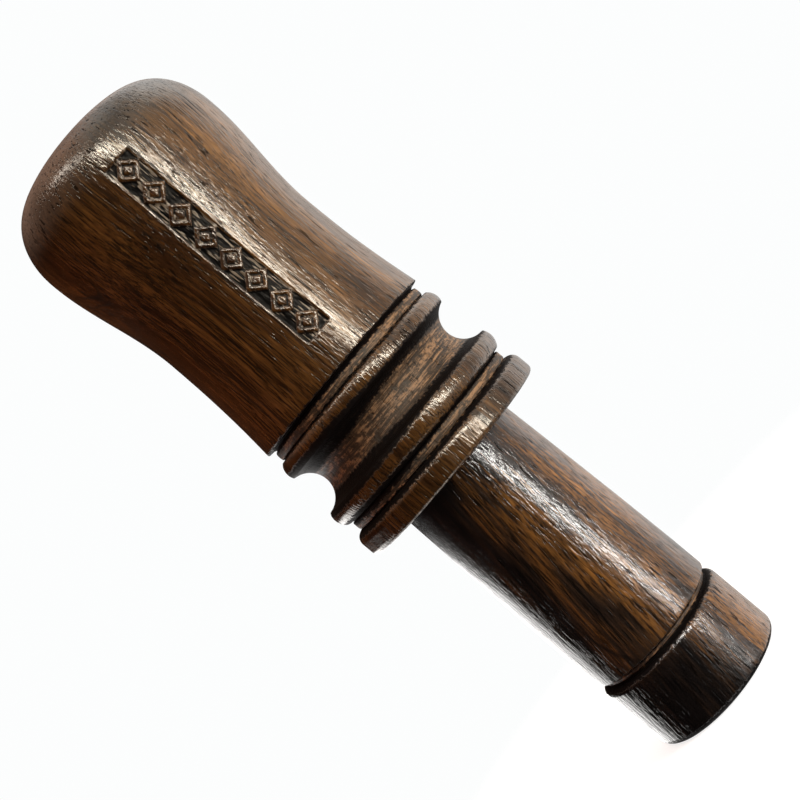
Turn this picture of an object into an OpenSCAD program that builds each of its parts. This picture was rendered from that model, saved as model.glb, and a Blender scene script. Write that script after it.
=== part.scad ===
// Turned hardwood bird call, standing on its exhaust end with the mouth end up.
// The barrel is blown from its rounded end and has a lanyard cove between beads.
// The insert plugs into the barrel on two seal rings and carries a drop-in tone
// board, whose two reeds are held down by a cork wedge.
// Outlines of turned pieces are lists of [radius, height] points.

/* [Insert] */
// Length of the insert that shows below the barrel
insert_show_len = 53.8; // [45:0.1:70]
// Diameter of the cap at the exhaust end
cap_d = 25.6; // [24.8:0.1:30]
// Height of the cap, from the exhaust face to the ring groove
cap_len = 12.9; // [8:0.1:18]
// Rounding of the exhaust rim
rim_round = 1.4; // [0.4:0.1:2]
// Rounding where the cap rolls into the ring groove
cap_shoulder_round = 1.1; // [0.3:0.1:1.4]
// Width of the floor of the ring groove
cap_groove_w = 1.4; // [0.8:0.1:3]
// Diameter of the floor of the ring groove
cap_groove_d = 23.1; // [21:0.1:24]
// Tube diameter just above the ring groove
tube_foot_d = 25.0; // [24.6:0.1:28]
// Tube diameter where it meets the barrel
tube_top_d = 23.4; // [22.6:0.1:25]
// How late the tube narrows towards the barrel: 1 is a straight cone
tube_taper_power = 1.5; // [1:0.1:3]
// Rounding inside the exhaust hole
exhaust_lip_round = 1.2; // [0.3:0.1:2]

/* [Tenon and seal rings] */
// Length of the tenon inside the barrel
tenon_len = 20; // [16:0.5:28]
// Chamfer at the tip of the tenon
tenon_chamfer = 0.6; // [0.2:0.1:1]
// Radial clearance between the tenon and the barrel bore
tenon_clear = 0.1; // [0.05:0.01:0.2]
// Thickness of the tenon's wall, round the bore that the tone board drops into
tenon_wall = 3.075; // [2.7:0.025:4]
// Thickness of a tenon seal ring
seal_wire_d = 1.78; // [1.4:0.01:2]
// Radial clearance between a seal ring and the bore it runs in
seal_clear = 0.04; // [0.01:0.01:0.1]
// Clearance between a seal ring and the floor of its groove
seal_seat_clear = 0.02; // [0.01:0.01:0.1]
// Extra width of a seal groove over its ring
seal_groove_play = 0.6; // [0.2:0.1:1]
// Distance from the lower end of the tenon to its lower seal ring
lower_seal_rise = 5.5; // [3:0.1:8]
// Distance between the two tenon seal rings
seal_pitch = 8.5; // [5:0.1:10]

/* [Barrel] */
// Bore through the barrel
barrel_bore_d = 19.05; // [18.4:0.05:21]
// Length of the barrel's body, from its lower edge to the mouth
body_len = 52.65; // [45:0.1:70]
// Diameter of the body's lower edge
body_edge_d = 35.74; // [34:0.1:40]
// Diameter of the waist
waist_d = 33.3; // [30:0.1:36]
// Distance from the body's lower edge to the waist
waist_rise = 20.6; // [12:0.1:26]
// Diameter of the bulb at the mouth end
bulb_d = 37.76; // [34:0.1:44]
// Length of the dome, from the widest part of the bulb to the mouth
dome_len = 10.3; // [9:0.1:18]
// Squareness of the dome: 2 is an ellipse
dome_power = 2.1; // [1.8:0.05:3.5]
// Rounding of the mouth hole
mouth_lip_round = 1.6; // [0.5:0.1:2.5]

/* [Barrel rings] */
// Diameter of the end bead, which the insert's shoulder seats against
end_bead_d = 38.0; // [34:0.1:44]
// Width of the end bead's flat crown and its seat-side rounding
end_bead_w = 2.7; // [1.5:0.1:4]
// Rounding of the end bead at the seat
end_bead_seat_round = 0.8; // [0.3:0.1:1.2]
// Rounding of the end bead on its groove side
end_bead_groove_round = 1.55; // [0.5:0.05:2]
// Width of the floor of the groove above the end bead
end_groove_w = 2.1; // [0.8:0.1:3]
// Width of the middle bead
middle_bead_w = 3.35; // [2:0.05:5]
// Diameter of the middle bead's crown
middle_bead_d = 37.8; // [34:0.1:44]
// Rise from the middle bead's lower corner to its crown
middle_bead_lead = 2.0; // [0.5:0.1:2.4]
// Radius of the middle bead's crown across its width
middle_bead_crown = 2.8; // [2.7:0.1:8]
// Radius of the lanyard cove across its width
cove_round = 3.88; // [3:0.02:4.5]
// Diameter of the floor of the lanyard cove
cove_floor_d = 29.6; // [27:0.1:32]
// Width of the upper bead
upper_bead_w = 2.85; // [1.8:0.05:4]
// Diameter of the upper bead's crown
upper_bead_d = 36.34; // [33:0.1:42]
// Rise from the upper bead's lower corner to its crown
upper_bead_lead = 1.05; // [0.4:0.05:1.6]
// Radius of the upper bead's crown across its width
upper_bead_crown = 2.5; // [2.4:0.1:8]
// Width of the floor of the groove below the body
body_groove_w = 2.35; // [0.8:0.1:3.5]
// Diameter of the floor of the groove below the body
body_groove_d = 33.8; // [31:0.1:35]

/* [Tone board] */
// Length of the keg below the flange
keg_len = 15; // [11:0.5:19]
// Radial clearance between the keg and the insert bore
keg_clear = 0.1; // [0.05:0.01:0.2]
// Thickness of a keg seal ring
keg_seal_wire_d = 1.2; // [0.8:0.05:1.5]
// Distance from the lower end of the keg to its lower seal ring
lower_keg_seal_rise = 3.5; // [2:0.1:5]
// Distance between the two keg seal rings
keg_seal_pitch = 6.5; // [3:0.1:7]
// How far the flange, which seats on the tip of the tenon, stays inside the tenon's side
flange_inset = 1.225; // [0.8:0.025:2]
// Thickness of the flange
flange_t = 1.5; // [0.8:0.1:3]
// Wall of the keg round the tone hole
keg_wall = 3.05; // [2.5:0.05:4]
// Length of the round block that holds the wedge
block_len = 9.5; // [7:0.1:14]
// Thickness of the block behind the wedge slot
block_back_t = 1.2; // [0.6:0.1:2.5]
// Thickness of the roof over the mouth of the wedge slot
slot_roof_t = 2.15; // [1.6:0.05:3]
// How much lower the wedge slot is at its back than at its mouth
slot_taper = 0.5; // [0.2:0.1:1]
// Length of the sounding board beyond the block
board_len = 34; // [26:0.5:40]
// Height of the sounding face above the axis, at the block
face_rise = 0.6; // [0:0.1:1.2]
// How far the sounding face falls away at the tip
face_drop = 1.3; // [0.6:0.1:2]
// How far each side of the sounding board is cut in from the round of the block
board_side_cut = 0.85; // [0.3:0.05:1.5]
// How much narrower the sounding board is at its tip than at the block
board_taper = 1.8; // [0.5:0.1:3]
// Thickness of the sounding board at the tip
board_tip_t = 2.2; // [1:0.1:4]
// Rounding of the sounding board's tip corners, seen on its face
board_tip_round = 2.2; // [0.5:0.1:3]
// How much closer the sides of the tone channel are than the tone hole's, on each side
channel_inset = 0.9; // [0.5:0.1:1.4]
// Height of the tone channel's floor above the bottom of the tone hole
channel_floor_rise = 0.4; // [0.1:0.1:1]
// Depth of the tone channel where it starts to run out
channel_end_depth = 1.6; // [0.5:0.1:2]
// Distance from the end of the channel to the board's tip
channel_margin = 5.5; // [3:0.1:10]

/* [Reeds and wedge] */
// Thickness of the long reed
long_reed_t = 0.36; // [0.2:0.01:0.5]
// Thickness of the short reed
short_reed_t = 0.25; // [0.15:0.01:0.4]
// How far the reeds' sides lie inside the sounding board's sides
reed_inset = 0.5; // [0.2:0.1:1]
// Distance from the long reed's tip to the board's tip
long_reed_setback = 0.8; // [0.2:0.1:3]
// Distance from the short reed's tip to the long reed's tip
short_reed_setback = 5; // [1:0.1:10]
// Corner trimmed off each reed tip
reed_corner = 1.4; // [0.4:0.1:2.5]
// How far the cork wedge's sides lie inside the reeds' sides
wedge_inset = 0.2; // [0.1:0.1:1]
// How far the wedge stands out of its slot
wedge_reach = 2.5; // [0.5:0.1:5]
// Bevel on the outer end of the wedge
wedge_bevel = 0.7; // [0.2:0.1:1]
// Gap between flat pieces that lie on each other
seat_gap = 0.02; // [0.01:0.01:0.05]

/* [Hidden] */
$fn = 96;

// How far cuts run past the faces that they open
overrun = 1;
// Short steps along a curved outline
curve_steps = 16;

// Heights along the axis, from the exhaust face
seat_z = insert_show_len;
tenon_top_z = seat_z + tenon_len;
keg_z = tenon_top_z - keg_len;
block_z = tenon_top_z + flange_t;
block_top_z = block_z + block_len;
slot_z = block_z + block_back_t;
board_tip_z = block_top_z + board_len;

// Insert and tenon
cap_r = cap_d / 2;
cap_groove_r = cap_groove_d / 2;
bore_r = barrel_bore_d / 2;
tenon_r = bore_r - tenon_clear;
insert_bore_r = tenon_r - tenon_wall;
tube_z = cap_len + cap_groove_w;

// Barrel rings, as heights above the seat
end_bead_r = end_bead_d / 2;
end_groove_r = end_bead_r - end_bead_groove_round;
end_groove_h = end_bead_w + end_bead_groove_round;
middle_bead_h = end_groove_h + end_groove_w;
cove_centre_r = cove_floor_d / 2 + cove_round;
middle_bead_top_r = crown_r_at(middle_bead_d, middle_bead_crown, middle_bead_w - middle_bead_lead);
cove_h = middle_bead_h + middle_bead_w + cove_half_chord(middle_bead_top_r);
upper_bead_foot_r = crown_r_at(upper_bead_d, upper_bead_crown, upper_bead_lead);
upper_bead_h = cove_h + cove_half_chord(upper_bead_foot_r);
body_h = upper_bead_h + upper_bead_w + body_groove_w;
waist_h = body_h + waist_rise;
barrel_len = body_h + body_len;
bulb_h = barrel_len - dome_len;
lip_r = bore_r + mouth_lip_round;

// Seal rings
tenon_ring_r = bore_r - seal_clear - seal_wire_d / 2;
board_ring_r = insert_bore_r - seal_clear - keg_seal_wire_d / 2;
lower_tenon_ring_z = seat_z + lower_seal_rise;
lower_board_ring_z = keg_z + lower_keg_seal_rise;

// Tone board, whose sounding face looks along +X
keg_r = insert_bore_r - keg_clear;
tone_hole_r = keg_r - keg_wall;
slot_mouth_h = keg_r - face_rise - slot_roof_t;
slot_back_h = slot_mouth_h - slot_taper;
board_root_w = 2 * (keg_r - board_side_cut);
board_tip_w = board_root_w - board_taper;
channel_w = 2 * (tone_hole_r - channel_inset);
channel_floor_x = channel_floor_rise - tone_hole_r;
channel_top_z = board_tip_z - channel_margin;
long_reed_x = face_rise + seat_gap;
short_reed_x = long_reed_x + long_reed_t + seat_gap;
wedge_x = short_reed_x + short_reed_t + seat_gap;
reed_tail_z = slot_z + seat_gap;
reed_root_w = board_root_w - 2 * reed_inset;
reed_tip_w = board_tip_w - 2 * reed_inset;
wedge_w = reed_root_w - 2 * wedge_inset;
long_reed_tip_z = board_tip_z - long_reed_setback;
short_reed_tip_z = long_reed_tip_z - short_reed_setback;

// Points along an arc about a centre, from one angle to another
function arc(centre, radius, from, to, steps = curve_steps / 2) = [
    for (i = [0:steps])
        let (a = from + (to - from) * i / steps) centre + radius * [cos(a), sin(a)]
];

// Radius of a crowned bead at a distance along the axis from its crown
function crown_r_at(crown_d, crown_round, along) =
    crown_d / 2 - crown_round + sqrt(pow(crown_round, 2) - pow(along, 2));

// Half the width of the lanyard cove at a given radius
function cove_half_chord(radius) = sqrt(pow(cove_round, 2) - pow(cove_centre_r - radius, 2));

// Outline of a crowned bead that starts at height h
function bead(h, width, lead, crown_d, crown_round) = [
    for (i = [0:curve_steps / 2])
        let (along = width * i / (curve_steps / 2))
            [crown_r_at(crown_d, crown_round, along - lead), h + along]
];

// Angle of a point of the cove, seen from the centre of its arc
function cove_angle(radius, side) = 180 + side * acos((cove_centre_r - radius) / cove_round);

// The insert's tube, narrowing towards the barrel
function tube_r_at(share) =
    tube_foot_d / 2 + (tube_top_d - tube_foot_d) / 2 * pow(share, tube_taper_power);

// The body falls from its lower edge to the waist, then swells to the bulb
function edge_to_waist(share) = (waist_d + (body_edge_d - waist_d) * pow(1 - share, 2)) / 2;
function waist_to_bulb(share) = (waist_d + (bulb_d - waist_d) * (1 - cos(180 * share)) / 2) / 2;

// Height of the sounding face at a share of the board's length
function face_x_at(share) = face_rise - face_drop * pow(share, 2);

barrel_outline = concat(
    [[bore_r, 0]],
    arc([end_bead_r - end_bead_seat_round, end_bead_seat_round], end_bead_seat_round, -90, 0, 5),
    arc([end_groove_r, end_bead_w], end_bead_groove_round, 0, 90),
    [[end_groove_r, middle_bead_h]],
    bead(middle_bead_h, middle_bead_w, middle_bead_lead, middle_bead_d, middle_bead_crown),
    arc([cove_centre_r, cove_h], cove_round,
        cove_angle(middle_bead_top_r, 1), cove_angle(upper_bead_foot_r, -1), curve_steps),
    bead(upper_bead_h, upper_bead_w, upper_bead_lead, upper_bead_d, upper_bead_crown),
    [[body_groove_d / 2, upper_bead_h + upper_bead_w], [body_groove_d / 2, body_h]],
    [for (i = [0:curve_steps / 2])
        let (share = i / (curve_steps / 2)) [edge_to_waist(share), body_h + waist_rise * share]],
    [for (i = [1:curve_steps])
        let (share = i / curve_steps) [waist_to_bulb(share), waist_h + (bulb_h - waist_h) * share]],
    [for (i = [1:curve_steps])
        let (a = 90 * i / curve_steps, p = 2 / dome_power)
            [lip_r + (bulb_d / 2 - lip_r) * pow(cos(a), p), bulb_h + dome_len * pow(sin(a), p)]],
    arc([lip_r, barrel_len - mouth_lip_round], mouth_lip_round, 90, 180, 6)
);

insert_outline = concat(
    arc([insert_bore_r + exhaust_lip_round, exhaust_lip_round], exhaust_lip_round, 180, 270, 5),
    arc([cap_r - rim_round, rim_round], rim_round, -90, 0, 6),
    arc([cap_r - cap_shoulder_round, cap_len - cap_shoulder_round], cap_shoulder_round, 0, 90, 5),
    [[cap_groove_r, cap_len], [cap_groove_r, tube_z]],
    [for (i = [0:curve_steps / 2])
        let (share = i / (curve_steps / 2)) [tube_r_at(share), tube_z + (seat_z - tube_z) * share]],
    [
        [tenon_r, seat_z],
        [tenon_r, tenon_top_z - tenon_chamfer],
        [tenon_r - tenon_chamfer, tenon_top_z],
        [insert_bore_r, tenon_top_z]
    ]
);

// Side view of the block and the sounding board, from the flange to the tip
board_side = concat(
    [[keg_r, block_z], [keg_r, block_top_z]],
    [for (i = [0:curve_steps])
        let (share = i / curve_steps) [face_x_at(share), block_top_z + board_len * share]],
    [
        [face_x_at(1) - board_tip_t, board_tip_z],
        [-keg_r, block_top_z],
        [-keg_r, block_z]
    ]
);

// Seen on its face, the board narrows beyond the block and ends in round corners
board_face = concat(
    [[keg_r, block_z], [keg_r, block_top_z], [board_root_w / 2, block_top_z]],
    arc([board_tip_w / 2 - board_tip_round, board_tip_z - board_tip_round], board_tip_round, 0, 90, 6),
    arc([board_tip_round - board_tip_w / 2, board_tip_z - board_tip_round], board_tip_round, 90, 180, 6),
    [[-board_root_w / 2, block_top_z], [-keg_r, block_top_z], [-keg_r, block_z]]
);

// Side view of the tone channel, which runs out into the face near the tip
channel_side = [
    [channel_floor_x, tenon_top_z - overrun],
    [channel_floor_x, block_top_z],
    [face_rise - face_drop - channel_end_depth, channel_top_z - channel_w],
    [face_rise - channel_end_depth, channel_top_z],
    [face_rise + overrun, channel_top_z],
    [face_rise + overrun, slot_z],
    [face_rise - seat_gap, slot_z],
    [face_rise - seat_gap, tenon_top_z - overrun]
];

// Side view of the wedge slot, open towards the tip
slot_side = [
    [face_rise, slot_z],
    [face_rise, block_top_z + overrun],
    [face_rise + slot_mouth_h, block_top_z + overrun],
    [face_rise + slot_mouth_h, block_top_z],
    [face_rise + slot_back_h, slot_z]
];

// Side view of the wedge, which follows the roof of its slot and stands out of it
wedge_side = let (roof_rise = (slot_mouth_h - slot_back_h) / (block_top_z - slot_z))
    [
        [wedge_x, reed_tail_z],
        [wedge_x, block_top_z + wedge_reach],
        [face_rise + slot_mouth_h - wedge_bevel, block_top_z + wedge_reach],
        [face_rise + slot_mouth_h - seat_gap, block_top_z + wedge_reach - wedge_bevel],
        [face_rise + slot_mouth_h - seat_gap, block_top_z],
        [face_rise + slot_back_h - seat_gap, reed_tail_z]
    ];

// A side view [x, z], given thickness across the axis
module across(width) {
    rotate([90, 0, 0]) linear_extrude(width, center = true) children();
}

// A view on the sounding face [y, z], given depth along +X
module through(depth) {
    rotate([90, 0, 90]) linear_extrude(depth) children();
}

// A seal ring of round section
module seal_ring(radius, wire_d, z) {
    translate([0, 0, z]) rotate_extrude() translate([radius, 0]) circle(d = wire_d);
}

// The groove that a seal ring sits in, cut into a shaft of the given radius
module seal_groove(ring_r, wire_d, shaft_r, z) {
    floor_r = ring_r - wire_d / 2 - seal_seat_clear;
    width = wire_d + seal_groove_play;
    translate([0, 0, z - width / 2]) rotate_extrude()
        translate([floor_r, 0]) square([shaft_r + overrun - floor_r, width]);
}

module barrel() {
    color("#4a2f20")
        translate([0, 0, seat_z]) rotate_extrude() polygon(barrel_outline);
}

module insert() {
    color("#533320") difference() {
        rotate_extrude() polygon(insert_outline);
        for (z = [lower_tenon_ring_z, lower_tenon_ring_z + seal_pitch])
            seal_groove(tenon_ring_r, seal_wire_d, tenon_r, z);
    }
}

module lower_tenon_ring() {
    color("#151515") seal_ring(tenon_ring_r, seal_wire_d, lower_tenon_ring_z);
}

module upper_tenon_ring() {
    color("#151515") seal_ring(tenon_ring_r, seal_wire_d, lower_tenon_ring_z + seal_pitch);
}

// The tone channel: its outline on the face, cut to the depth of its side view
module tone_channel() {
    intersection() {
        across(channel_w) polygon(channel_side);
        translate([-keg_r, 0, 0]) through(2 * keg_r) union() {
            translate([-channel_w / 2, keg_z]) square([channel_w, channel_top_z - channel_w / 2 - keg_z]);
            translate([0, channel_top_z - channel_w / 2]) circle(d = channel_w);
        }
    }
}

module tone_board() {
    color("#1d1e20") difference() {
        union() {
            translate([0, 0, keg_z]) cylinder(r = keg_r, h = keg_len + flange_t);
            translate([0, 0, tenon_top_z]) cylinder(r = tenon_r - flange_inset, h = flange_t);
            intersection() {
                translate([0, 0, block_z]) cylinder(r = keg_r, h = block_len + board_len);
                across(2 * keg_r) polygon(board_side);
                translate([-keg_r, 0, 0]) through(2 * keg_r) polygon(board_face);
            }
        }
        for (z = [lower_board_ring_z, lower_board_ring_z + keg_seal_pitch])
            seal_groove(board_ring_r, keg_seal_wire_d, keg_r, z);
        translate([0, 0, keg_z - overrun]) cylinder(r = tone_hole_r, h = keg_len + overrun);
        across(2 * insert_bore_r) polygon(slot_side);
        tone_channel();
    }
}

module lower_board_ring() {
    color("#7a1f1a") seal_ring(board_ring_r, keg_seal_wire_d, lower_board_ring_z);
}

module upper_board_ring() {
    color("#7a1f1a") seal_ring(board_ring_r, keg_seal_wire_d, lower_board_ring_z + keg_seal_pitch);
}

// A flat reed that tapers towards a tip with trimmed corners
module reed(x, thickness, tip_z) {
    share = (tip_z - block_top_z) / (long_reed_tip_z - block_top_z);
    root = reed_root_w / 2;
    tip = root + (reed_tip_w / 2 - root) * share;
    translate([x, 0, 0]) through(thickness) polygon([
        [-root, reed_tail_z],
        [root, reed_tail_z],
        [root, block_top_z],
        [tip, tip_z - reed_corner],
        [tip - reed_corner, tip_z],
        [reed_corner - tip, tip_z],
        [-tip, tip_z - reed_corner],
        [-root, block_top_z]
    ]);
}

module long_reed() {
    color("#c9c3b2") reed(long_reed_x, long_reed_t, long_reed_tip_z);
}

module short_reed() {
    color("#dcd8cc") reed(short_reed_x, short_reed_t, short_reed_tip_z);
}

module wedge() {
    color("#b98d5f") across(wedge_w) polygon(wedge_side);
}

barrel();
insert();
lower_tenon_ring();
upper_tenon_ring();
tone_board();
lower_board_ring();
upper_board_ring();
long_reed();
short_reed();
wedge();
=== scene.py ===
import math

import bmesh
import bpy
import numpy as np
from mathutils import Matrix, Vector


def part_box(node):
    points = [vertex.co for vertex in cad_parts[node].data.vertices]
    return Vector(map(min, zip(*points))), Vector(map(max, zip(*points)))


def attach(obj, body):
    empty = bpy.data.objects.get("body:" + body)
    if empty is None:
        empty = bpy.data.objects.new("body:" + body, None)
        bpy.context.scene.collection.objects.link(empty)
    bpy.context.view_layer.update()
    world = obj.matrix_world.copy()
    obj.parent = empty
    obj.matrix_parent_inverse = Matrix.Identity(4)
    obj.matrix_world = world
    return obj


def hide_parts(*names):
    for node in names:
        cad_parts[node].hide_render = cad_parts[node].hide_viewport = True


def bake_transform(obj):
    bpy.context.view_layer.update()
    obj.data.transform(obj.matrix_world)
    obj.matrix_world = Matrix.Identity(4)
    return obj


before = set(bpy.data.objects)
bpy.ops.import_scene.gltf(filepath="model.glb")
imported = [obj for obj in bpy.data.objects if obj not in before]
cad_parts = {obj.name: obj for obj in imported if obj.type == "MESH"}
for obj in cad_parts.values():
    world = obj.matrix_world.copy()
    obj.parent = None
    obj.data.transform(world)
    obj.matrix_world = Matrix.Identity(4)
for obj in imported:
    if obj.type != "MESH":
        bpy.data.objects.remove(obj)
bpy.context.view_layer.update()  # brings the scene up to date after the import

MM = 0.001
SAME = 1e-6  # points that lie this near each other, in metres, are one

# Heights of the turned details above the exhaust face, in mm
RING_GROOVE = (12.9, 14.3)
SEAT = 53.8
END_GROOVE = (58.05, 60.15)
COVE = (63.5, 71.19)
BODY_GROOVE = (74.04, 76.39)
CARVED_BAND = (81.7, 119.6)
DOME = 118.7

# The carved band faces a little to the +X side of straight ahead
CARVED_SIDE = math.radians(-90 + 7.3)
LOZENGES = 8.0

# Radii in mm that keep these out of the bores
SOOT_AND_SHADE_FROM = 10.4
TOOL_CUTS_FROM = 11
CARVING_FROM = 14


class Recipe:
    """Writes a node tree step by step. Each step gives back the socket that it made."""

    def __init__(self, tree):
        self.tree = tree

    def step(self, kind, feeds=None, out=0, **settings):
        node = self.tree.nodes.new(kind)
        for key, value in settings.items():
            setattr(node, key, value)
        for key, feed in (feeds or {}).items():
            if isinstance(feed, bpy.types.NodeSocket):
                self.tree.links.new(feed, node.inputs[key])
            else:
                node.inputs[key].default_value = feed
        return node.outputs[out]

    def calc(self, operation, a, b=0.0, c=0.0):
        return self.step("ShaderNodeMath", {0: a, 1: b, 2: c}, operation=operation)

    def add(self, a, b):
        return self.calc("ADD", a, b)

    def take(self, a, b):
        return self.calc("SUBTRACT", a, b)

    def times(self, a, b):
        return self.calc("MULTIPLY", a, b)

    def rise(self, value, low, high, to_low=0.0, to_high=1.0):
        """A soft step: to_low below low, to_high above high."""
        feeds = {0: value, 1: low, 2: high, 3: to_low, 4: to_high}
        return self.step("ShaderNodeMapRange", feeds, interpolation_type="SMOOTHSTEP")

    def parts(self, vector):
        node = self.tree.nodes.new("ShaderNodeSeparateXYZ")
        self.tree.links.new(vector, node.inputs[0])
        return node.outputs[0], node.outputs[1], node.outputs[2]

    def vector(self, x=0.0, y=0.0, z=0.0):
        return self.step("ShaderNodeCombineXYZ", {0: x, 1: y, 2: z})

    def scaled(self, vector, x, y, z):
        return self.step("ShaderNodeVectorMath", {0: vector, 1: (x, y, z)}, operation="MULTIPLY")

    def moved(self, vector, by):
        return self.step("ShaderNodeVectorMath", {0: vector, 1: by})

    def evenly(self, vector, by):
        """A vector times one number."""
        return self.step("ShaderNodeVectorMath", {0: vector, "Scale": by}, operation="SCALE")

    def far(self, x, y):
        """How far (x, y) is from (0, 0)."""
        return self.calc("SQRT", self.add(self.times(x, x), self.times(y, y)))

    def in_mm(self):
        """The point being shaded, in mm in the piece's own frame."""
        return self.scaled(self.step("ShaderNodeTexCoord", out="Object"), 1000, 1000, 1000)

    def grain(self, where, detail=2.0, roughness=0.5, scale=1.0, distortion=0.0):
        feeds = {"Vector": where, "Scale": scale, "Detail": detail, "Roughness": roughness,
                 "Distortion": distortion}
        return self.step("ShaderNodeTexNoise", feeds)

    def tint(self, share, a, b, how="MIX"):
        return self.step("ShaderNodeMix", {0: share, 6: a, 7: b}, out=2, data_type="RGBA", blend_type=how)

    def stained(self, share, colour, stain):
        """A colour multiplied by a stain, by a share."""
        return self.tint(share, colour, self.tint(1.0, colour, stain, "MULTIPLY"))

    def tones(self, value, stops):
        node = self.tree.nodes.new("ShaderNodeValToRGB")
        ramp = node.color_ramp
        while len(ramp.elements) < len(stops):
            ramp.elements.new(0.5)
        for element, (place, colour) in zip(ramp.elements, stops):
            element.position = place
            element.color = (*colour, 1)
        self.tree.links.new(value, node.inputs[0])
        return node.outputs[0]

    def strongest(self, values):
        top = values[0]
        for value in values[1:]:
            top = self.calc("MAXIMUM", top, value)
        return top


# Outlines and turning


def merged(node):
    """A CAD node's faces with their shared corners merged."""
    bm = bmesh.new()
    bm.from_mesh(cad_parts[node].data)
    bmesh.ops.remove_doubles(bm, verts=bm.verts, dist=SAME)
    return bm


def template(node):
    """The outline of a turned CAD node on its +X side, as a closed list of (radius, height) in mm."""
    bm = merged(node)
    side = {v for v in bm.verts if abs(v.co.y) < 2e-7 and v.co.x > 0}

    def joined(v):
        return [e.other_vert(v) for e in v.link_edges if e.other_vert(v) in side]

    chain = [min(side, key=lambda v: (round(v.co.z, 6), v.co.x))]
    before, here = chain[0], max(joined(chain[0]), key=lambda v: v.co.x)
    while here is not chain[0]:
        chain.append(here)
        before, here = here, next(v for v in joined(here) if v is not before)
    outline = np.array([(v.co.x / MM, v.co.z / MM) for v in chain])
    bm.free()
    return outline


def scored(outline, lines):
    """The outline with a narrow V cut at each (height, half width, depth), where the tool bit in."""
    points = [tuple(p) for p in outline]
    for height, half, depth in lines:
        low, high = height - half, height + half
        i = next(k for k in range(len(points) - 1)
                 if points[k][0] > TOOL_CUTS_FROM and points[k][1] < low and points[k + 1][1] > high)
        radius = points[i][0]
        points[i + 1:i + 1] = [(radius, low), (radius - depth, height), (radius, high)]
    return np.array(points)


def unit(v):
    return v / np.linalg.norm(v)


def draw_out(outline, row, edge=0.12):
    """Draws a smooth curve through an outline and divides it into short rows, whose length is
    row(radius, height). Each corner is eased by edge mm. Gives back the points, and how near each one is to
    a corner, from 0 to 1."""
    corner_from = 24  # degrees that the outline turns by
    longest_ease = 0.42  # as a share of a side, at each of its ends
    near_within = 0.3  # mm
    count = len(outline)
    chord = [outline[(i + 1) % count] - outline[i] for i in range(count)]
    size = [np.linalg.norm(c) for c in chord]
    way = [unit(c) for c in chord]
    bend = [np.degrees(np.arccos(np.clip(way[i - 1] @ way[i], -1, 1))) for i in range(count)]
    sharp = [b > corner_from for b in bend]
    lean = [unit(way[i - 1] * size[i - 1] + way[i] * size[i]) for i in range(count)]
    points, corners = [], []
    for i in range(count):
        j = (i + 1) % count
        a, b = outline[i], outline[j]
        ta, tb = lean[i], lean[j]
        if sharp[i] and sharp[j]:
            ta = tb = way[i]
        elif sharp[i]:
            ta = 2 * (way[i] @ tb) * way[i] - tb
        elif sharp[j]:
            tb = 2 * (way[i] @ ta) * way[i] - ta

        def at(t):
            return ((2 * t**3 - 3 * t**2 + 1) * a + (t**3 - 2 * t**2 + t) * size[i] * ta
                    + (3 * t**2 - 2 * t**3) * b + (t**3 - t**2) * size[i] * tb)

        cut = min(edge / size[i], longest_ease)
        t0, t1 = (cut if sharp[i] else 0), (1 - cut if sharp[j] else 1)
        if sharp[i]:
            last = points[-1] if points else a - way[i - 1] * min(edge, longest_ease * size[i - 1])
            first = at(t0)
            for t in (0.25, 0.5, 0.75):
                points.append((1 - t) ** 2 * last + 2 * t * (1 - t) * a + t * t * first)
            corners.append(a)
        rows = max(1, round((t1 - t0) * size[i] / row(*((a + b) / 2))))
        points += [at(t0 + (t1 - t0) * k / rows) for k in range(rows)]
        if sharp[j]:
            points.append(at(t1))
    points = np.clip(points, outline.min(0), outline.max(0))
    if corners:
        apart = np.linalg.norm(points[:, None] - np.array(corners)[None], axis=2).min(1)
        return points, np.exp(-((apart / near_within) ** 2))
    return points, np.zeros(len(points))


def socket_in(tree, name, kind, value=None):
    socket = tree.interface.new_socket(name, in_out="INPUT", socket_type="NodeSocket" + kind)
    if value is not None:
        socket.default_value = value


def hand_out(r, piece, finish):
    """Ends a bench: the piece leaves it as real faces in its finish."""
    r.tree.interface.new_socket("Piece", in_out="OUTPUT", socket_type="NodeSocketGeometry")
    piece = r.step("GeometryNodeRealizeInstances", {"Geometry": piece})
    piece = r.step("GeometryNodeSetMaterial", {"Geometry": piece, "Material": finish})
    r.tree.links.new(piece, r.tree.nodes.new("NodeGroupOutput").inputs[0])
    return r.tree


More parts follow.
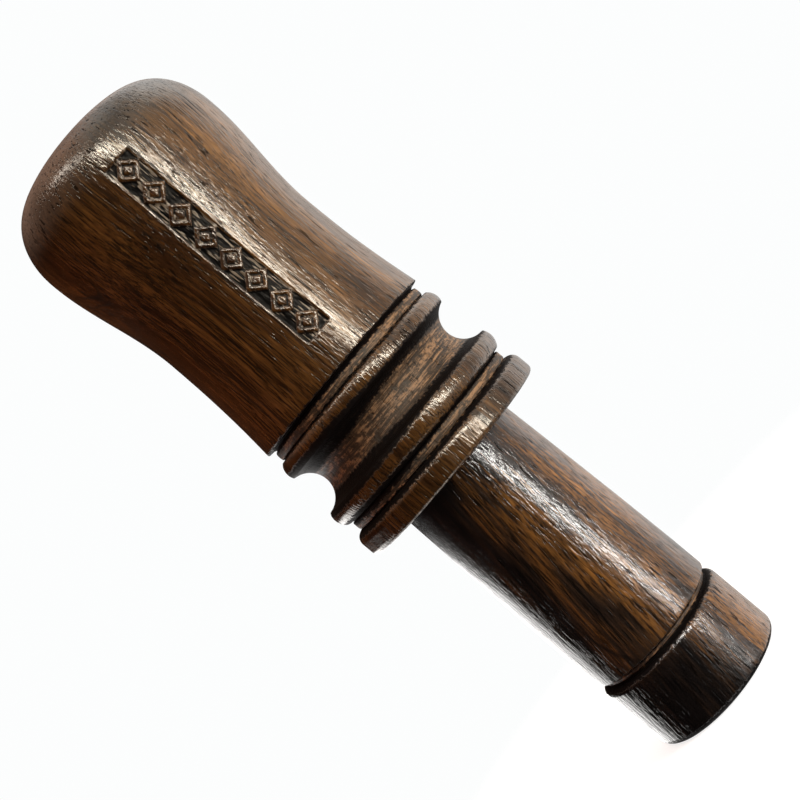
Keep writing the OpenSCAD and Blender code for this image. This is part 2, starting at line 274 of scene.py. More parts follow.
def turning_bench():
    """Node tree that turns an outline, drawn in the XZ plane, into a closed piece about the Z axis."""
    tree = bpy.data.node_groups.new("turning bench", "GeometryNodeTree")
    socket_in(tree, "Outline", "Geometry")
    socket_in(tree, "Columns", "Int", 180)
    socket_in(tree, "Crowding", "Float", 0.0)
    socket_in(tree, "Crowded side", "Float", 0.0)
    socket_in(tree, "Hub radius", "Float", 5 * MM)
    socket_in(tree, "Unevenness", "Float", 0.0)
    socket_in(tree, "Unevenness length", "Float", 12 * MM)
    socket_in(tree, "Ragged edge depth", "Float", 0.0)
    socket_in(tree, "Ragged edge length", "Float", 0.9 * MM)
    socket_in(tree, "Seed", "Float", 1.0)
    socket_in(tree, "Finish", "Material")
    r = Recipe(tree)
    given = tree.nodes.new("NodeGroupInput").outputs
    position = r.step("GeometryNodeInputPosition")

    x, _, z = r.parts(position)
    flat = r.vector(r.take(x, given["Hub radius"]), r.times(z, -1))
    laid = r.step("GeometryNodeSetPosition", {"Geometry": given["Outline"], "Position": flat})
    outline = r.step("GeometryNodeMeshToCurve", {0: laid})

    # The path is a circle whose points crowd together on one side
    circle = r.step("GeometryNodeCurvePrimitiveCircle",
                    {"Resolution": given["Columns"], "Radius": given["Hub radius"]}, mode="RADIUS")
    x, y, _ = r.parts(position)
    pull = r.times(given["Crowding"], r.calc("DIVIDE", y, given["Hub radius"]))
    angle = r.add(r.take(r.calc("ARCTAN2", y, x), pull), given["Crowded side"])
    around = r.vector(r.times(r.calc("COSINE", angle), given["Hub radius"]),
                      r.times(r.calc("SINE", angle), given["Hub radius"]))
    path = r.step("GeometryNodeSetPosition", {"Geometry": circle, "Position": around})
    path = r.step("GeometryNodeSetCurveNormal", {"Curve": path}, mode="Z_UP")
    turned = r.step("GeometryNodeCurveToMesh", {"Curve": path, "Profile Curve": outline})
    turned = r.step("GeometryNodeFlipFaces", {0: turned})

    # Hand turned: never quite even, with torn grain along the sharp corners
    x, y, _ = r.parts(position)
    outwards = r.step("ShaderNodeVectorMath", {0: r.vector(x, y)}, operation="NORMALIZE")

    def noise(length, stretch):
        where = r.evenly(position, r.calc("DIVIDE", 1.0, length))
        where = r.moved(where, r.vector(given["Seed"], given["Seed"], given["Seed"]))
        return r.grain(r.scaled(where, 1, 1, stretch), detail=2)

    uneven = r.times(noise(given["Unevenness length"], 1), given["Unevenness"])
    near = r.step("GeometryNodeInputNamedAttribute", {"Name": "near_corner"}, data_type="FLOAT")
    torn = r.times(r.rise(noise(given["Ragged edge length"], 0.5), 0.38, 0.72), near)
    torn = r.times(torn, given["Ragged edge depth"])
    offset = r.evenly(outwards, r.times(r.add(uneven, torn), -1))
    turned = r.step("GeometryNodeSetPosition", {"Geometry": turned, "Offset": offset})
    turned = r.step("GeometryNodeSetShadeSmooth", {"Geometry": turned, "Shade Smooth": True})
    return hand_out(r, turned, given["Finish"])


def lozenge_cut(r, x, y, z, mm, sizes):
    """How deep the carved band is cut at a point, from 0 to 1. The band is sunk around a chain of raised
    lozenges, each with a line cut inside its edge. mm is the length of a millimetre in x, y and z."""
    reach = r.far(x, y)
    angle = r.take(r.calc("ARCTAN2", y, x), sizes["Side"])
    across = r.calc("ABSOLUTE", r.times(angle, reach))
    along = r.take(z, sizes["From height"])
    length = r.take(sizes["To height"], sizes["From height"])
    pitch = r.calc("DIVIDE", length, sizes["Lozenges"])
    from_centre = r.take(r.calc("FRACT", r.calc("DIVIDE", along, pitch)), 0.5)
    cell = r.times(r.calc("ABSOLUTE", from_centre), pitch)
    half_long = r.take(r.times(pitch, 0.5), sizes["Gap"])
    half_wide = r.take(r.times(sizes["Width"], 0.5), sizes["Gap"])
    share = r.take(1.0, r.add(r.calc("DIVIDE", cell, half_long), r.calc("DIVIDE", across, half_wide)))
    slant = r.far(half_long, half_wide)
    inside = r.times(share, r.calc("DIVIDE", r.times(half_long, half_wide), slant))
    wall = sizes["Wall"]

    def step_up(value, at):
        return r.rise(value, r.take(at, r.times(wall, 0.5)), r.add(at, r.times(wall, 0.5)))

    line_near = r.take(sizes["Line inset"], r.times(sizes["Line width"], 0.5))
    line_far = r.add(sizes["Line inset"], r.times(sizes["Line width"], 0.5))
    line = r.times(step_up(inside, line_near), r.take(1.0, step_up(inside, line_far)))
    sunk = r.calc("MAXIMUM", r.take(1.0, step_up(inside, 0.0)), line)
    ends = r.calc("MINIMUM", along, r.take(length, along))
    in_band = r.rise(r.calc("MINIMUM", r.take(r.times(sizes["Width"], 0.5), across), ends), 0.0, wall)
    return r.times(r.times(sunk, in_band), r.calc("GREATER_THAN", reach, CARVING_FROM * mm))


BAND = {
    "From height": CARVED_BAND[0], "To height": CARVED_BAND[1], "Width": 4.9, "Gap": 0.22, "Wall": 0.26,
    "Line inset": 0.78, "Line width": 0.3,
}


def carving_bench():
    """Node tree that cuts the band of lozenges into one side of a turned piece."""
    tree = bpy.data.node_groups.new("carving bench", "GeometryNodeTree")
    socket_in(tree, "Piece", "Geometry")
    socket_in(tree, "Side", "Float", CARVED_SIDE)
    socket_in(tree, "Lozenges", "Float", LOZENGES)
    for name, value in BAND.items():
        socket_in(tree, name, "Float", value * MM)
    socket_in(tree, "Depth", "Float", 0.32 * MM)
    socket_in(tree, "Seed", "Float", 4.0)
    socket_in(tree, "Finish", "Material")
    r = Recipe(tree)
    given = tree.nodes.new("NodeGroupInput").outputs
    position = r.step("GeometryNodeInputPosition")
    x, y, z = r.parts(position)
    cut = lozenge_cut(r, x, y, z, MM, given)
    where = r.moved(r.scaled(position, 2200, 2200, 500), r.vector(given["Seed"]))
    rough = r.rise(r.grain(where, detail=1), 0.2, 0.8, 0.75, 1.1)
    outwards = r.step("ShaderNodeVectorMath", {0: r.vector(x, y)}, operation="NORMALIZE")
    depth = r.times(r.times(cut, rough), r.times(given["Depth"], -1))
    offset = r.evenly(outwards, depth)
    carved = r.step("GeometryNodeSetPosition", {"Geometry": given["Piece"], "Offset": offset})
    return hand_out(r, carved, given["Finish"])


def fit(piece, label, tree, **sizes):
    """Puts a node tree on a piece, with its sizes set by the names of its inputs."""
    modifier = piece.modifiers.new(label, "NODES")
    modifier.node_group = tree
    places = {s.name: s.identifier for s in tree.interface.items_tree if s.in_out == "INPUT"}
    for name, value in sizes.items():
        modifier[places[name.replace("_", " ")]] = value


def settle(piece):
    """Makes a piece with modifiers a plain mesh."""
    depsgraph = bpy.context.evaluated_depsgraph_get()
    made = bpy.data.meshes.new_from_object(
        piece.evaluated_get(depsgraph), preserve_all_data_layers=True, depsgraph=depsgraph)
    raw, piece.data = piece.data, made
    piece.modifiers.clear()
    bpy.data.meshes.remove(raw)
    return piece


def as_mesh(bm, name):
    mesh = bpy.data.meshes.new(name)
    bm.to_mesh(mesh)
    bm.free()
    return mesh


def on_scene(name, mesh):
    piece = bpy.data.objects.new(name, mesh)
    bpy.context.scene.collection.objects.link(piece)
    return piece


def turned(name, points, corners, finish, bench, **sizes):
    """A piece turned from an outline of radii and heights in mm."""
    mesh = bpy.data.meshes.new(name)
    count = len(points)
    sides = [(i, (i + 1) % count) for i in range(count)]
    mesh.from_pydata([(r * MM, 0, z * MM) for r, z in points], sides, [])
    near = mesh.attributes.new("near_corner", "FLOAT", "POINT")
    near.data.foreach_set("value", corners.astype(np.float32))
    piece = on_scene(name, mesh)
    fit(piece, "turning", bench, Finish=finish, **sizes)
    return piece


# Finishes


def new_finish(name):
    finish = bpy.data.materials.new(name)
    finish.use_nodes = True
    finish.node_tree.nodes.clear()
    return finish, Recipe(finish.node_tree)


def done(r, colour, roughness, height, relief, strength, **fixed):
    """Ends a finish in its surface shader. relief is how high the bumps stand, in mm."""
    bumps = {"Strength": strength, "Distance": relief * MM, "Height": height}
    feeds = {"Base Color": colour, "Roughness": roughness, "Normal": r.step("ShaderNodeBump", bumps)}
    feeds.update(fixed)
    surface = r.step("ShaderNodeBsdfPrincipled", feeds)
    r.tree.links.new(surface, r.tree.nodes.new("ShaderNodeOutputMaterial").inputs["Surface"])


def hardwood(name, shift, lean, tones, burnt_and_shaded, bare, gloss, width, streaks, patch, hair,
             lines=0.6, swirl=0.0, painted_side_shading=0.0, carved=False, glint=(1, 1, 1, 1)):
    """Dark streaked hardwood under lacquer, from a tree that lies at shift mm and leans by lean degrees.
    gloss is the roughness of the lacquer and glint the colour of its shine. width widens the streaks.
    streaks, patch, lines and hair are how strong the ring streaks, the long patches, the ring lines and
    the fibres are. swirl bends the patches.
    paler is how fast the wood is painted lighter towards the +X side and darker towards the -X side, up to
    twice as strong on the cap: painted light and shade.
    burnt is a list of (height, half width, spread, soft) in mm, the black lines: burn lines that the tool
    left, and painted shade in corners and seams.
    spread is what a line gains on the -X side, painted shade there, and soft is how wide its edge fades.
    bare is a list of (height, half width) in mm, the floors that the lacquer hardly reached."""
    soot_and_shade_black, dirt_black = (0.0025, 0.002, 0.002, 1), (0.003, 0.0025, 0.002, 1)
    finish, r = new_finish(name)
    place = r.in_mm()
    x, y, z = r.parts(place)
    turn = tuple(math.radians(angle) for angle in lean)
    log = r.step("ShaderNodeMapping", {"Vector": place, "Location": shift, "Rotation": turn})

    # Growth rings about the heart of the tree, drifting along the trunk, make the streaks
    wide = {"Vector": r.scaled(log, 0.06, 0.06, 0.024), "Scale": 1.0, "Detail": 2.0}
    drift = r.step("ShaderNodeTexNoise", wide, out=1)
    drift = r.step("ShaderNodeVectorMath", {0: drift, 1: (0.5, 0.5, 0.5)}, operation="SUBTRACT")
    heart_x, heart_y, log_z = r.parts(r.moved(log, r.scaled(drift, 8, 8, 0)))
    ring = r.far(heart_x, heart_y)
    across = r.vector(r.times(ring, 0.62 / width), 3.0, r.times(log_z, 0.014))
    rings = r.grain(across, detail=4, roughness=0.6)
    across = r.vector(r.times(ring, 0.42 / width), 9.0, r.times(log_z, 0.01))
    years = r.grain(across, detail=2, roughness=0.6)
    ring_line = r.rise(r.calc("ABSOLUTE", r.take(years, 0.5)), 0.0, 0.02, 1.0, 0.0)
    fibres = r.grain(r.scaled(log, 3.0, 3.0, 0.15), detail=3, roughness=0.75)
    strokes = r.grain(r.scaled(log, 1.5, 1.5, 0.05), detail=3)
    pores = r.rise(r.grain(r.scaled(log, 2.9, 2.9, 0.2), detail=1), 0.61, 0.68)
    pits = r.rise(r.grain(r.scaled(log, 1.9, 1.9, 0.3), detail=2, roughness=0.6), 0.40, 0.58)
    patches = r.grain(r.scaled(log, 0.12, 0.12, 0.028), detail=2, distortion=swirl)
    shade = r.add(0.5, r.times(r.take(rings, 0.5), streaks))
    shade = r.add(shade, r.times(r.take(strokes, 0.5), 0.45))
    shade = r.add(shade, r.times(r.take(patches, 0.5), patch))
    # Painted light and shade: lighter towards the +X side, darker towards the -X side, more so on the cap
    shade = r.add(shade, r.times(r.times(x, painted_side_shading), r.rise(z, 8.0, 18.0, 2.0, 1.0)))
    colour = r.tones(shade, tones)
    dark_hair = r.rise(fibres, 0.36, 0.52, hair, 0.0)
    colour = r.stained(dark_hair, colour, (0.15, 0.135, 0.125, 1))
    pale_hair = r.rise(fibres, 0.54, 0.66, 0.0, 0.6 * hair)
    colour = r.stained(pale_hair, colour, (2.0, 1.9, 1.8, 1))
    colour = r.tint(r.times(ring_line, lines), colour, (0.004, 0.003, 0.0025, 1))
    colour = r.tint(r.times(pores, 0.8), colour, dirt_black)

    # The wood is darker below the body, more so on the cap and the end bead. The dome is dark and grey
    darker = r.rise(z, BODY_GROOVE[1] - 0.5, BODY_GROOVE[1] + 3, 0.42, 0.0)
    darker = r.add(darker, r.rise(z, RING_GROOVE[0], RING_GROOVE[1], 0.3, 0.0))
    bead = r.rise(z, SEAT - 0.2, SEAT, 0.0, 0.16)
    bead = r.take(bead, r.rise(z, END_GROOVE[0], END_GROOVE[0] + 0.2, 0.0, 0.16))
    darker = r.add(darker, bead)
    colour = r.stained(darker, colour, (0.30, 0.32, 0.38, 1))
    colour = r.stained(r.rise(z, DOME - 4, DOME + 7, 0.0, 0.85), colour, (0.16, 0.25, 0.45, 1))

    # The lines wander a little with the torn grain
    dust = r.grain(r.scaled(place, 2.2, 2.2, 2.2), detail=3, roughness=0.7)
    wander = r.grain(r.scaled(place, 1.1, 1.1, 0.8), detail=3, roughness=0.6)
    level = r.add(z, r.times(r.take(wander, 0.5), 0.8))
    level = r.add(level, r.times(r.take(dust, 0.5), 1.2))
    # The -X side is the shaded side: the black lines spread wider there and raw wood is darker there, both
    # painted shade
    shaded_side = r.rise(x, -10.0, 6.0, 1.0, 0.0)

    def stripes(list_of):
        found = []
        for at, half, spread, soft in list_of:
            apart = r.take(r.calc("ABSOLUTE", r.take(level, at)), r.times(shaded_side, spread))
            found.append(r.rise(apart, half, half + soft, 1.0, 0.0))
        return r.strongest(found)

    outside = r.calc("GREATER_THAN", r.add(r.times(x, x), r.times(y, y)), SOOT_AND_SHADE_FROM**2)
    soot_and_shade = r.times(stripes(burnt_and_shaded), outside)
    raw_edge = 0.4
    raw = r.times(stripes([(at, half, 0.0, raw_edge) for at, half in bare]), outside)

    # Raw wood is scored round by the tool, and crumbles
    scores = r.grain(r.scaled(place, 0.16, 0.16, 2.6), detail=3, roughness=0.7)
    crumble = r.grain(r.scaled(place, 0.9, 0.9, 1.5), detail=4, roughness=0.75)
    # Raw wood is painted lighter on the +X side than on the -X side: painted light and shade
    crumbs = r.rise(r.add(crumble, r.times(r.take(1.0, shaded_side), 0.05)), 0.43, 0.60)
    clean = r.times(r.rise(scores, 0.40, 0.62), crumbs)
    raw_wood = r.tint(clean, (0.010, 0.0062, 0.0036, 1), (0.165, 0.090, 0.044, 1))
    colour = r.tint(r.times(raw, 0.85), colour, raw_wood)
    # Black of the burn lines, with painted shade in the cove's corners, in the seam at the seat and on the
    # -X side
    colour = r.tint(r.times(soot_and_shade, 0.97), colour, soot_and_shade_black)

    height = r.add(r.times(fibres, 1.1), r.times(pits, 1.3))
    height = r.take(height, r.times(pores, 1.2))
    height = r.add(height, r.times(raw, r.add(r.times(scores, 6.0), r.times(crumble, 8.0))))
    height = r.take(height, r.times(soot_and_shade, r.times(dust, 3.0)))
    roughness = r.add(gloss, r.times(fibres, 0.12))
    roughness = r.add(roughness, r.calc("MAXIMUM", r.times(raw, 0.35), r.times(soot_and_shade, 0.35)))
    dull = r.strongest([r.times(raw, 0.5), r.times(soot_and_shade, 0.95), r.times(pores, 0.85)])
    if carved:
        sizes = {**BAND, "Side": CARVED_SIDE, "Lozenges": LOZENGES}
        cut = lozenge_cut(r, x, y, z, 1.0, sizes)
        scratches = r.rise(r.grain(r.scaled(place, 2.6, 2.6, 0.35), detail=1), 0.54, 0.64)
        sunk = r.tint(scratches, (0.0015, 0.0013, 0.0012, 1), (0.08, 0.058, 0.038, 1))
        colour = r.tint(cut, colour, sunk)
        roughness = r.add(roughness, r.times(cut, 0.15))
        height = r.add(height, r.times(cut, r.times(scratches, 2.5)))
        dull = r.calc("MAXIMUM", dull, r.times(cut, r.rise(scratches, 0.0, 1.0, 0.9, 0.3)))
    level_of_shine = r.take(0.5, r.times(dull, 0.5))
    done(r, colour, roughness, height, relief=0.024, strength=0.7,
         **{"Specular IOR Level": level_of_shine, "Specular Tint": glint})
    return finish


def moulded_plastic():
    finish, r = new_finish("moulded board plastic")
    place = r.in_mm()
    swirl = r.grain(r.scaled(place, 0.25, 0.25, 0.1), detail=3)
    grit = r.grain(r.scaled(place, 6, 6, 6), detail=2)
    strokes = r.grain(r.scaled(place, 5, 5, 0.2), detail=2)
    colour = r.tones(swirl, [(0.3, (0.010, 0.010, 0.012)), (0.7, (0.022, 0.022, 0.026))])
    colour = r.tint(r.rise(strokes, 0.62, 0.8, 0.0, 0.5), colour, (0.09, 0.09, 0.095, 1))
    roughness = r.add(0.26, r.times(r.rise(swirl, 0.3, 0.7), 0.12))
    height = r.add(r.times(grit, 0.5), r.times(strokes, 0.5))
    done(r, colour, roughness, height, relief=0.012, strength=0.5)
    return finish


def seal_rubber(name, dark, light):
    finish, r = new_finish(name)
    place = r.in_mm()
    bloom = r.grain(r.scaled(place, 0.5, 0.5, 0.5), detail=4)
    grit = r.grain(r.scaled(place, 9, 9, 9), detail=2)
    colour = r.tones(bloom, [(0.35, dark), (0.75, light)])
    roughness = r.add(0.38, r.times(grit, 0.2))
    done(r, colour, roughness, grit, relief=0.008, strength=0.4)
    return finish


def reed_film():
    finish, r = new_finish("milky reed film")
    place = r.in_mm()
    cloud = r.grain(r.scaled(place, 0.35, 0.35, 0.12), detail=3)
    drag = r.grain(r.scaled(place, 3, 5, 0.12), detail=3)
    colour = r.tones(cloud, [(0.3, (0.66, 0.66, 0.62)), (0.7, (0.80, 0.80, 0.76))])
    colour = r.tint(r.rise(drag, 0.56, 0.72, 0.0, 0.5), colour, (0.40, 0.38, 0.33, 1))
    roughness = r.add(0.2, r.times(r.rise(drag, 0.4, 0.7), 0.18))
    done(r, colour, roughness, drag, relief=0.006, strength=0.5,
         **{"Transmission Weight": 0.84, "IOR": 1.5})
    return finish


def pressed_cork():
    finish, r = new_finish("pressed cork")
    place = r.in_mm()
    bend = r.step("ShaderNodeTexNoise", {"Vector": place, "Scale": 1.2, "Detail": 2.0}, out=1)
    bent = {"Vector": r.moved(place, r.scaled(bend, 0.5, 0.5, 0.5)), "Scale": 1.15}
    crumb = r.step("ShaderNodeTexVoronoi", bent, out="Color")
    seam = r.step("ShaderNodeTexVoronoi", bent, out="Distance", feature="DISTANCE_TO_EDGE")
    hue = r.parts(crumb)[0]
    cells = r.grain(r.scaled(place, 9, 9, 9), detail=2)
    colour = r.tones(hue, CORK_TONES)
    colour = r.tint(r.rise(seam, 0.0, 0.09, 0.8, 0.0), colour, (0.06, 0.028, 0.012, 1))
    fleck = r.rise(r.grain(r.scaled(place, 2.3, 2.3, 2.3), detail=1), 0.66, 0.74)
    colour = r.tint(fleck, colour, (0.035, 0.018, 0.009, 1))
    colour = r.tint(r.rise(cells, 0.35, 0.7, 0.3, 0.0), colour, (0.11, 0.07, 0.035, 1))
    height = r.add(r.rise(seam, 0.0, 0.12), r.times(cells, 0.5))
    done(r, colour, 0.82, height, relief=0.05, strength=0.7)
    return finish


def middle(span):
    return sum(span) / 2


BROWN_TONES = [
    (0.30, (0.018, 0.0068, 0.0020)), (0.42, (0.035, 0.0145, 0.0037)), (0.52, (0.052, 0.0225, 0.0056)),
    (0.62, (0.069, 0.0305, 0.0076)), (0.76, (0.10, 0.046, 0.012)),
]
STREAKED_TONES = [
    (0.34, (0.005, 0.0035, 0.003)), (0.46, (0.016, 0.009, 0.005)), (0.54, (0.050, 0.022, 0.0065)),
    (0.63, (0.092, 0.039, 0.009)), (0.76, (0.17, 0.072, 0.016)),
]
CORK_TONES = [
    (0.0, (0.12, 0.065, 0.032)), (0.35, (0.22, 0.135, 0.072)), (0.75, (0.27, 0.18, 0.105)),
    (1.0, (0.34, 0.245, 0.155)),
]

# Cuts of the tool in the corners of the grooves: height, half width and depth in mm
BARREL_CUTS = [(58.2, 0.12, 0.35), (59.9, 0.16, 0.5), (74.2, 0.12, 0.3), (76.0, 0.3, 0.6)]
INSERT_CUTS = [(13.15, 0.2, 0.45), (14.05, 0.2, 0.4)]
# The barrel's black lines are burn lines in the groove corners, with painted shade in the cove's corners,
# on the middle bead's flank beside the end groove and in the seam at the seat
barrel_wood = hardwood(
    "barrel hardwood", (39.0, 30.0, -84.0), (1.5, -0.5, 5.0), BROWN_TONES,
    burnt_and_shaded=[(57.9, 0.28, 0.1, 0.25), (59.98, 0.22, 0.5, 0.3),
           (74.12, 0.1, 0.0, 0.2), (76.02, 0.32, 0.1, 0.25),
           (COVE[0] + 0.4, 0.45, 0.6, 0.5), (COVE[1] - 0.5, 0.6, 0.8, 0.5), (SEAT - 0.1, 0.05, 0.0, 0.1)],
    bare=[(middle(END_GROOVE), 0.8), (middle(COVE), 2.9), (middle(BODY_GROOVE), 0.9)],
    gloss=0.13, width=0.8, streaks=0.65, patch=0.7, hair=0.7, carved=True, glint=(1.0, 0.93, 0.80, 1))
# The insert's black lines are burn lines in the ring groove and at the exhaust rim, with painted shade on
# the cap's shoulder and in the seam at the seat
insert_wood = hardwood(
    "insert hardwood", (35.0, 19.0, 169.0), (-3.6, -7.4, 180.0), STREAKED_TONES,
    burnt_and_shaded=[(RING_GROOVE[0] - 0.1, 0.15, 0.15, 0.2), (13.1, 0.12, 0.0, 0.12), (14.12, 0.1, 0.0, 0.12),
           (0.2, 0.5, 0.2, 0.3), (SEAT - 0.1, 0.2, 0.0, 0.2)],
    bare=[(middle(RING_GROOVE), 0.35), (SEAT + 10.6, 9.6)],
    gloss=0.12, width=2.0, streaks=0.4, patch=1.0, hair=0.9, lines=0.8, swirl=0.35, painted_side_shading=0.011)
black_rubber = seal_rubber("black seal rubber", (0.010, 0.010, 0.011), (0.026, 0.026, 0.028))
red_rubber = seal_rubber("red seal rubber", (0.26, 0.028, 0.018), (0.40, 0.055, 0.038))
board_plastic = moulded_plastic()
film = reed_film()
cork = pressed_cork()

# The turned wood
bench = turning_bench()


def barrel_row(radius, height):
    """How long a row of the barrel is, in mm."""
    in_bore, on_beads, on_carving, elsewhere = 2.0, 0.22, 0.185, 0.36
    bore_to, past_groove, round_carving = 12, 1.2, 0.6
    if radius < bore_to or height < SEAT + 0.1:
        return in_bore
    if height < BODY_GROOVE[1] + past_groove:
        return on_beads
    if CARVED_BAND[0] - round_carving < height < CARVED_BAND[1] + round_carving:
        return on_carving
    return elsewhere


def insert_row(radius, height):
    """How long a row of the insert is, in mm."""
    hidden, on_cap, on_tube = 1.5, 0.25, 0.6
    bore_to, past_groove = 7.5, 1.5
    if radius < bore_to or height > SEAT:
        return hidden
    if height < RING_GROOVE[1] + past_groove:
        return on_cap
    return on_tube


points, corners = draw_out(scored(template("barrel"), BARREL_CUTS), barrel_row, edge=0.14)
barrel = turned("barrel_turned", points, corners, barrel_wood, bench, Columns=186, Crowding=0.72,
                Crowded_side=CARVED_SIDE, Unevenness=0.10 * MM, Ragged_edge_depth=0.16 * MM)
fit(barrel, "carving", carving_bench(), Finish=barrel_wood)
settle(barrel)
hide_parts("barrel")
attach(barrel, "barrel")

points, corners = draw_out(scored(template("insert"), INSERT_CUTS), insert_row)
insert = turned("insert_turned", points, corners, insert_wood, bench, Columns=180, Unevenness=0.05 * MM,
                Ragged_edge_depth=0.08 * MM, Seed=7.0)
settle(insert)
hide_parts("insert")
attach(insert, "insert")


def seal(node, body, finish):
    """A moulded ring of round section with the fine flash line of its mould."""
    row_length, line_height, line_half_width = 0.12, 0.018, 0.09
    outline = template(node)
    centre, height = outline.mean(0)
    points, corners = draw_out(outline, lambda radius, z: row_length)
    lift = line_height * np.exp(-(((points[:, 1] - height) / line_half_width) ** 2))
    points[:, 0] += np.where(points[:, 0] > centre, lift, 0)
    ring = settle(turned(node + "_moulded", points, corners, finish, bench, Columns=160))
    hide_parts(node)
    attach(ring, body)


for node in ("lower_tenon_ring", "upper_tenon_ring"):
    seal(node, "seal_rings", black_rubber)
for node in ("lower_board_ring", "upper_board_ring"):
    seal(node, "tone_board", red_rubber)


def merged_copy(node, name):
    return on_scene(name, as_mesh(merged(node), name))


# The moulded board, with its edges eased
board = merged_copy("tone_board", "tone_board_moulded")
easing = board.modifiers.new("eased edges", "BEVEL")
easing.width, easing.segments = 0.1 * MM, 2
easing.limit_method, easing.angle_limit = "ANGLE", math.radians(35)
easing.use_clamp_overlap = True
easing.loop_slide = False
settle(board)
board.data.materials.clear()
board.data.materials.append(board_plastic)
board.data.shade_smooth()
board.data.set_sharp_from_angle(angle=math.radians(32))
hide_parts("tone_board")
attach(board, "tone_board")


def reed(node, name):
    """A flat film reed with eased edges, cut to the CAD node's outline, in many short rows."""
    row_count = 72
    low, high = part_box(node)
    co = np.array([v.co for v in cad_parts[node].data.vertices])
    levels = sorted({round(float(z), 6) for z in co[:, 2]})
    halves = [float(np.abs(co[np.abs(co[:, 2] - z) < SAME][:, 1]).max()) for z in levels]
    even = np.linspace(levels[0], levels[-1], row_count)
    heights = np.unique(np.round(np.concatenate([even, levels]), 7))
    half = np.interp(heights, levels, halves)
    ease = min(0.09 * MM, (high.x - low.x) * 0.3)
    # The cross section: which side, how far forward, and whether the corner is drawn in by the easing
    section = [(-1, low.x + ease, 0), (-1, high.x - ease, 0), (-1, high.x, 1), (1, high.x, 1),
               (1, high.x - ease, 0), (1, low.x + ease, 0), (1, low.x, 1), (-1, low.x, 1)]
    count = len(section)
    bm = bmesh.new()
    rows = [[bm.verts.new((x, side * (h - ease * inset), z)) for side, x, inset in section]
            for z, h in zip(heights, half)]
    for a, b in zip(rows, rows[1:]):
        for k in range(count):
            after = (k + 1) % count
            bm.faces.new((a[k], a[after], b[after], b[k]))
    bm.faces.new(rows[0])
    bm.faces.new(rows[-1][::-1])
    bmesh.ops.recalc_face_normals(bm, faces=bm.faces)
    mesh = as_mesh(bm, name)
    mesh.materials.append(film)
    mesh.shade_smooth()
    mesh.set_sharp_from_angle(angle=math.radians(40))
    piece = on_scene(name, mesh)
    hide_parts(node)
    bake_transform(piece)


reed("long_reed", "long_reed_film")
reed("short_reed", "short_reed_film")


def crumb_bench():
    """Node tree that sinks the seams between the crumbs of a cork piece."""
    tree = bpy.data.node_groups.new("cork crumbs", "GeometryNodeTree")
    socket_in(tree, "Piece", "Geometry")
    socket_in(tree, "Crumb size", "Float", 0.9 * MM)
    socket_in(tree, "Seam depth", "Float", 0.06 * MM)
    socket_in(tree, "Seed", "Float", 2.0)
    socket_in(tree, "Finish", "Material")
    r = Recipe(tree)
    given = tree.nodes.new("NodeGroupInput").outputs
    position = r.step("GeometryNodeInputPosition")
    where = r.evenly(position, r.calc("DIVIDE", 1.0, given["Crumb size"]))
    where = r.moved(where, r.vector(given["Seed"]))
    seam = r.step("ShaderNodeTexVoronoi", {"Vector": where, "Scale": 1.0}, out="Distance",
                  feature="DISTANCE_TO_EDGE")
    sink = r.times(r.rise(seam, 0.0, 0.16, 1.0, 0.0), r.times(given["Seam depth"], -1))
    normal = r.step("GeometryNodeInputNormal")
    offset = r.evenly(normal, sink)
    moved = r.step("GeometryNodeSetPosition", {"Geometry": given["Piece"], "Offset": offset})
    moved = r.step("GeometryNodeSetShadeSmooth", {"Geometry": moved, "Shade Smooth": True})
    return hand_out(r, moved, given["Finish"])


wedge = merged_copy("wedge", "wedge_cork")
fine = wedge.modifiers.new("fine faces", "REMESH")
fine.mode, fine.voxel_size = "VOXEL", 0.14 * MM
fit(wedge, "crumbs", crumb_bench(), Finish=cork)
settle(wedge)
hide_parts("wedge")
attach(wedge, "tone_board")

# Floor, light and camera
PAPER = (0.975, 0.985, 0.985, 1)
AIM = (0, 0, 0.066)  # the middle of the call, where the lamps point
STRIP_WAY = (-0.628, 0.257, 0.834)  # the way the long sides of the strip lamps run
UPRIGHT = (0, 0, 1)


def stand(place, right, up, back):
    """Where a lamp or camera stands, with its own axes turned to right, up and back."""
    return Matrix.Translation(place) @ Matrix((right, up, back)).transposed().to_4x4()


def pale_floor():
    """A round sheet of pale paper that fades into the backdrop. It doesn't show in the lacquer."""
    radius, below, fade_from, fade_to = 0.12, 0.00002, 0.05, 0.1  # metres
    count = 96
    finish, r = new_finish("pale floor")
    x, y, _ = r.parts(r.step("ShaderNodeTexCoord", out="Object"))
    away = r.far(x, y)
    cloud = r.grain(r.vector(x, y), scale=6.0, detail=3)
    grey = r.tones(cloud, [(0.3, (0.34, 0.34, 0.34)), (0.7, (0.37, 0.37, 0.37))])
    paper = r.step("ShaderNodeBsdfDiffuse", {"Color": grey})
    glow = r.step("ShaderNodeEmission", {"Color": PAPER, "Strength": 0.8})
    lit = r.step("ShaderNodeAddShader", {0: paper, 1: glow})
    clear = r.step("ShaderNodeBsdfTransparent")
    fade = r.rise(away, fade_from, fade_to, 1.0, 0.0)
    both = r.step("ShaderNodeMixShader", {0: fade, 1: clear, 2: lit})
    r.tree.links.new(both, r.tree.nodes.new("ShaderNodeOutputMaterial").inputs["Surface"])
    mesh = bpy.data.meshes.new("floor")
    turns = [2 * math.pi * i / count for i in range(count)]
    around = [(radius * math.cos(turn), radius * math.sin(turn), -below) for turn in turns]
    mesh.from_pydata(around, [], [tuple(range(count))])
    mesh.materials.append(finish)
    floor = on_scene("floor", mesh)
    floor.visible_glossy = False


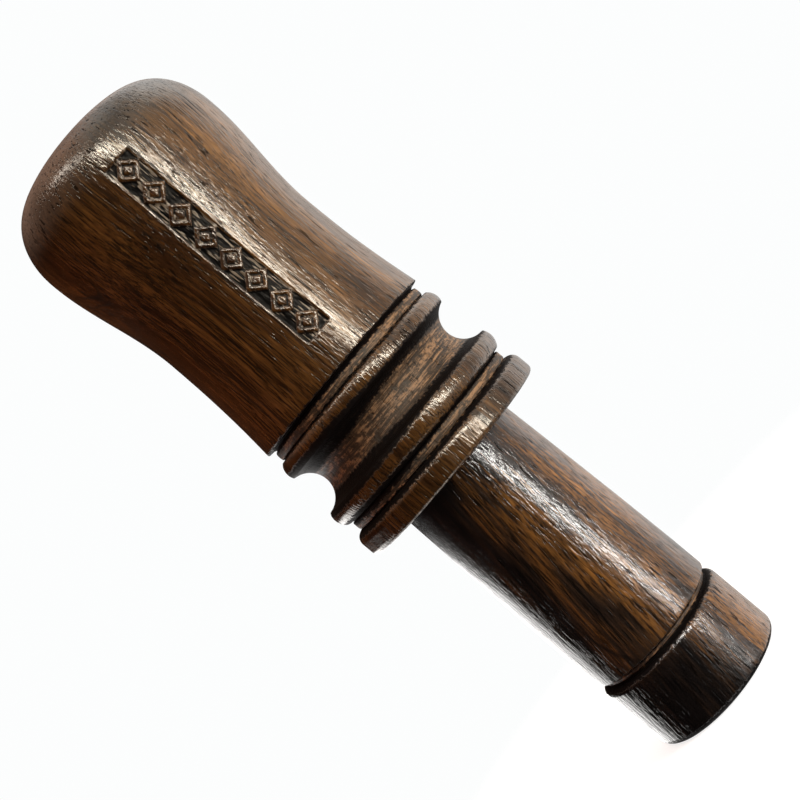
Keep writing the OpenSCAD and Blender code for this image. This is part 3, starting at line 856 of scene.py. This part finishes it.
def soft_light(name, place, along, width, length, power, colour, shines=True, lights=True):
    """A soft box at a place, aimed at the call, with its long side turned along a direction. Sizes are
    in metres and power in watts. One that doesn't shine is left out of the lacquer's reflections, and one
    that doesn't light shows only in them."""
    light = bpy.data.lights.new(name, "AREA")
    light.shape, light.size, light.size_y = "RECTANGLE", width, length
    light.energy, light.color = power, colour
    box = bpy.data.objects.new(name, light)
    back = (Vector(place) - Vector(AIM)).normalized()
    side = Vector(along).cross(back).normalized()
    box.matrix_world = stand(place, side, back.cross(side), back)
    box.visible_glossy, box.visible_diffuse = shines, lights
    bpy.context.scene.collection.objects.link(box)


def surroundings():
    """The room: pale on the +X side and dim on the other, with three pale sheets and a glow from below.
    It lights the call and shows in the lacquer. The camera itself sees plain paper."""
    world = bpy.data.worlds.new("studio")
    bpy.context.scene.world = world
    world.use_nodes = True
    world.node_tree.nodes.clear()
    r = Recipe(world.node_tree)
    x, y, z = r.parts(r.step("ShaderNodeTexCoord", out="Generated"))
    # Degrees from the camera's side towards +X
    turn = r.times(r.calc("ARCTAN2", x, r.times(y, -1)), 180 / math.pi)

    def band(value, low, high, soft):
        return r.times(r.rise(value, low - soft, low), r.rise(value, high, high + soft, 1.0, 0.0))

    def sheet(across, upright, bright):
        return r.times(r.times(across, upright), bright)

    level_side = r.add(r.times(band(turn, 35, 165, 16), 0.9), r.times(band(turn, 108, 136, 12), 1.1))
    glow = r.add(0.02, r.times(level_side, band(z, -0.6, 0.6, 0.3)))
    glow = r.add(glow, r.add(r.rise(z, 0.3, 0.7, 0.0, 0.7), r.rise(z, 0.8, 0.95, 0.0, 1.2)))
    bent = r.add(turn, r.times(z, 60))
    glow = r.add(glow, sheet(band(bent, 31, 43, 5), band(z, -0.42, -0.04, 0.03), 3.2))
    glow = r.add(glow, sheet(band(turn, -172, -120, 6), band(z, -0.34, -0.13, 0.05), 4.2))
    glow = r.add(glow, sheet(band(turn, -178, -135, 8), band(z, -0.88, -0.46, 0.06), 1.8))
    glow = r.add(glow, r.times(r.rise(z, -0.97, -0.87, 5.0, 0.0), r.rise(x, -0.06, 0.04, 1.0, 0.2)))
    seen = r.step("ShaderNodeLightPath", out="Is Camera Ray")
    hue = r.tint(r.rise(x, -0.1, 0.3), (1.0, 0.62, 0.45, 1), (1.0, 0.97, 0.94, 1))
    hue = r.tint(r.rise(z, -0.1, 0.1), (1.0, 0.98, 0.96, 1), hue)
    room = r.step("ShaderNodeBackground", {"Color": hue, "Strength": glow})
    paper = r.step("ShaderNodeBackground", {"Color": PAPER, "Strength": 1.0})
    both = r.step("ShaderNodeMixShader", {0: seen, 1: room, 2: paper})
    r.tree.links.new(both, r.tree.nodes.new("ShaderNodeOutputWorld").inputs["Surface"])


pale_floor()
surroundings()
soft_light("long strip", (0.235, -0.395, 0.205), STRIP_WAY, 0.03, 0.75, 6.0, (1.0, 0.97, 0.92),
           lights=False)
soft_light("dome strip", (-0.158, -0.257, 0.70), STRIP_WAY, 0.04, 0.40, 1.1, (1.0, 0.97, 0.94),
           lights=False)
soft_light("side key", (0.61, -0.51, 0.2), UPRIGHT, 0.4, 0.5, 14, (1.0, 0.95, 0.88), shines=False)
soft_light("warm fill", (-0.8, -0.05, 0.12), UPRIGHT, 0.4, 0.5, 4.5, (1.0, 0.5, 0.38), shines=False)
soft_light("rear fill", (0.15, 0.8, 0.45), UPRIGHT, 0.7, 0.5, 3, (1, 1, 1), shines=False)

camera = bpy.data.cameras.new("camera")
camera.sensor_width, camera.lens = 36, 64.035
camera.clip_start = 0.01
eye = bpy.data.objects.new("camera", camera)
right = Vector((0.639439, -0.007649, -0.768804)).normalized()
up = Vector((0.768842, 0.006361, 0.639407)).normalized()
eye.matrix_world = stand((1.98 * MM, -221.64 * MM, 68.607 * MM), right, up, right.cross(up))
bpy.context.scene.collection.objects.link(eye)
bpy.context.scene.camera = eye
bpy.context.scene.view_settings.view_transform = "Standard"
